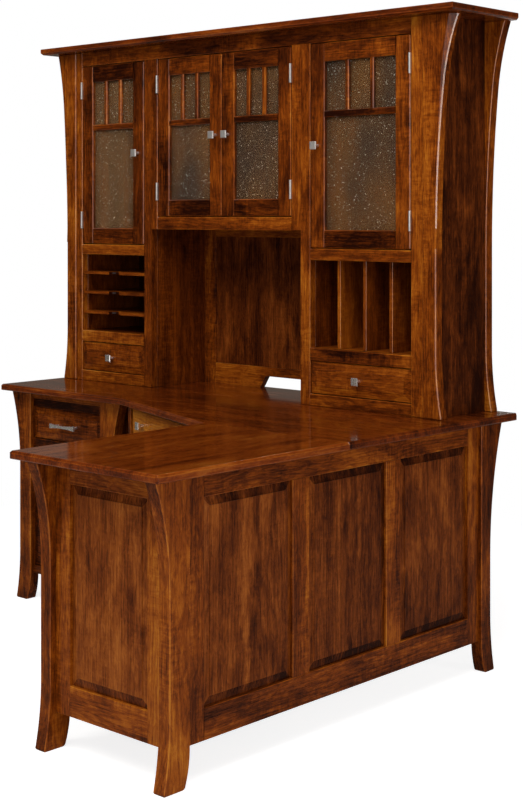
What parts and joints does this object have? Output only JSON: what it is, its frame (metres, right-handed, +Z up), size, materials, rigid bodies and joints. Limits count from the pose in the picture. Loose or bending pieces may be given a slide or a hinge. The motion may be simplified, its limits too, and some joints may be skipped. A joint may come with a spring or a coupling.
{
  "type": "corner desk with hutch",
  "caption": "L-shaped wooden corner desk with flared legs, panelled return, corner drawer and a glazed hutch with pigeonholes, upright slots and drawers.",
  "frame": {"origin": "on the floor under the middle of the crown, halfway between the desk's front and back edges", "axes": "+X to the right of someone facing the hutch, +Y to the wall behind it, +Z up"},
  "size_m": [1.895, 1.524, 2.01],
  "materials": {
    "frame_cherry": "stained and lacquered",
    "panel_cherry": "stained and lacquered",
    "top_cherry": "stained, gloss lacquer",
    "drawer_cherry": "stained and lacquered",
    "inner_cherry": "stained and lacquered",
    "runner_maple": "waxed",
    "birch_ply": "raw plywood",
    "seeded_glass": "seeded",
    "satin_nickel": "satin nickel",
    "hinge_nickel": "satin nickel"
  },
  "bodies": {
    "carcass": {"main_top": "top_cherry", "return_top": "top_cherry", "return_legs": "frame_cherry", "back_right_leg": "frame_cherry", "wing_legs": "frame_cherry", "side_frame": "frame_cherry", "end_frame": "frame_cherry", "wing_side_frame": "frame_cherry", "raised_panels": "panel_cherry", "return_face_rails": "frame_cherry", "return_case": "inner_cherry", "wing_face_rails": "frame_cherry", "wing_case": "inner_cherry", "corner_frame": "inner_cherry", "desk_back_panel": "panel_cherry", "drawer_runners": "runner_maple", "hutch_crown": "top_cherry", "hutch_front_posts": "frame_cherry", "hutch_back_posts": "frame_cherry", "hutch_sides": "panel_cherry", "hutch_face_frame": "frame_cherry", "hutch_partitions": "inner_cherry", "hutch_liners": "inner_cherry", "hutch_decks": "inner_cherry", "pigeonhole_shelves": "inner_cherry", "slot_dividers": "inner_cherry", "bay_back_frame": "inner_cherry", "bay_back_panel": "panel_cherry", "hutch_backing": "birch_ply", "hinge_leaves": "hinge_nickel", "hinge_pins": "hinge_nickel"},
    "left_door": {"left_door": "frame_cherry", "left_door_glass": "seeded_glass", "left_door_hardware": "hinge_nickel"},
    "mid_left_door": {"mid_left_door": "frame_cherry", "mid_left_door_glass": "seeded_glass", "mid_left_door_hardware": "hinge_nickel"},
    "mid_right_door": {"mid_right_door": "frame_cherry", "mid_right_door_glass": "seeded_glass", "mid_right_door_hardware": "hinge_nickel"},
    "right_door": {"right_door": "frame_cherry", "right_door_glass": "seeded_glass", "right_door_hardware": "hinge_nickel"},
    "hutch_left_drawer": {"hutch_left_drawer": "drawer_cherry", "hutch_left_knob": "satin_nickel"},
    "hutch_right_drawer": {"hutch_right_drawer": "drawer_cherry", "hutch_right_knob": "satin_nickel"},
    "writing_board": {"writing_board": "frame_cherry"},
    "wing_top_drawer": {"wing_top_drawer": "drawer_cherry", "wing_top_pull": "satin_nickel"},
    "wing_middle_drawer": {"wing_middle_drawer": "drawer_cherry", "wing_middle_pull": "satin_nickel"},
    "wing_file_drawer": {"wing_file_drawer": "drawer_cherry", "wing_file_pull": "satin_nickel"},
    "return_upper_drawer": {"return_upper_drawer": "drawer_cherry", "return_upper_pull": "satin_nickel"},
    "return_lower_drawer": {"return_lower_drawer": "drawer_cherry", "return_lower_pull": "satin_nickel"},
    "corner_drawer": {"corner_drawer": "drawer_cherry", "corner_knobs": "satin_nickel"}
  },
  "joints": [
    {"name": "left_door_hinge", "type": "hinge", "parent": "carcass", "child": "left_door", "pos_m": [-0.7705, 0.4658, 1.6085], "axis": [0, 0, -1], "range_deg": [0, 110]},
    {"name": "mid_left_door_hinge", "type": "hinge", "parent": "carcass", "child": "mid_left_door", "pos_m": [-0.3645, 0.4658, 1.659], "axis": [0, 0, -1], "range_deg": [0, 110]},
    {"name": "mid_right_door_hinge", "type": "hinge", "parent": "carcass", "child": "mid_right_door", "pos_m": [0.267, 0.4658, 1.659], "axis": [0, 0, 1], "range_deg": [0, 110]},
    {"name": "right_door_hinge", "type": "hinge", "parent": "carcass", "child": "right_door", "pos_m": [0.7515, 0.4658, 1.6085], "axis": [0, 0, 1], "range_deg": [0, 110]},
    {"name": "hutch_left_drawer_slide", "type": "slide", "parent": "carcass", "child": "hutch_left_drawer", "axis": [0, -1, 0], "range_m": [0, 0.17]},
    {"name": "hutch_right_drawer_slide", "type": "slide", "parent": "carcass", "child": "hutch_right_drawer", "axis": [0, -1, 0], "range_m": [0, 0.17]},
    {"name": "writing_board_slide", "type": "slide", "parent": "carcass", "child": "writing_board", "axis": [0, -1, 0], "range_m": [0, 0.28]},
    {"name": "wing_top_drawer_slide", "type": "slide", "parent": "carcass", "child": "wing_top_drawer", "axis": [0, -1, 0], "range_m": [0, 0.29]},
    {"name": "wing_middle_drawer_slide", "type": "slide", "parent": "carcass", "child": "wing_middle_drawer", "axis": [0, -1, 0], "range_m": [0, 0.29]},
    {"name": "wing_file_drawer_slide", "type": "slide", "parent": "carcass", "child": "wing_file_drawer", "axis": [0, -1, 0], "range_m": [0, 0.29]},
    {"name": "corner_drawer_slide", "type": "slide", "parent": "carcass", "child": "corner_drawer", "axis": [-0.3505, -0.9366, 0], "range_m": [0, 0.22]},
    {"name": "return_upper_drawer_slide", "type": "slide", "parent": "carcass", "child": "return_upper_drawer", "axis": [-1, 0, 0], "range_m": [0, 0.29]},
    {"name": "return_lower_drawer_slide", "type": "slide", "parent": "carcass", "child": "return_lower_drawer", "axis": [-1, 0, 0], "range_m": [0, 0.29]}
  ]
}
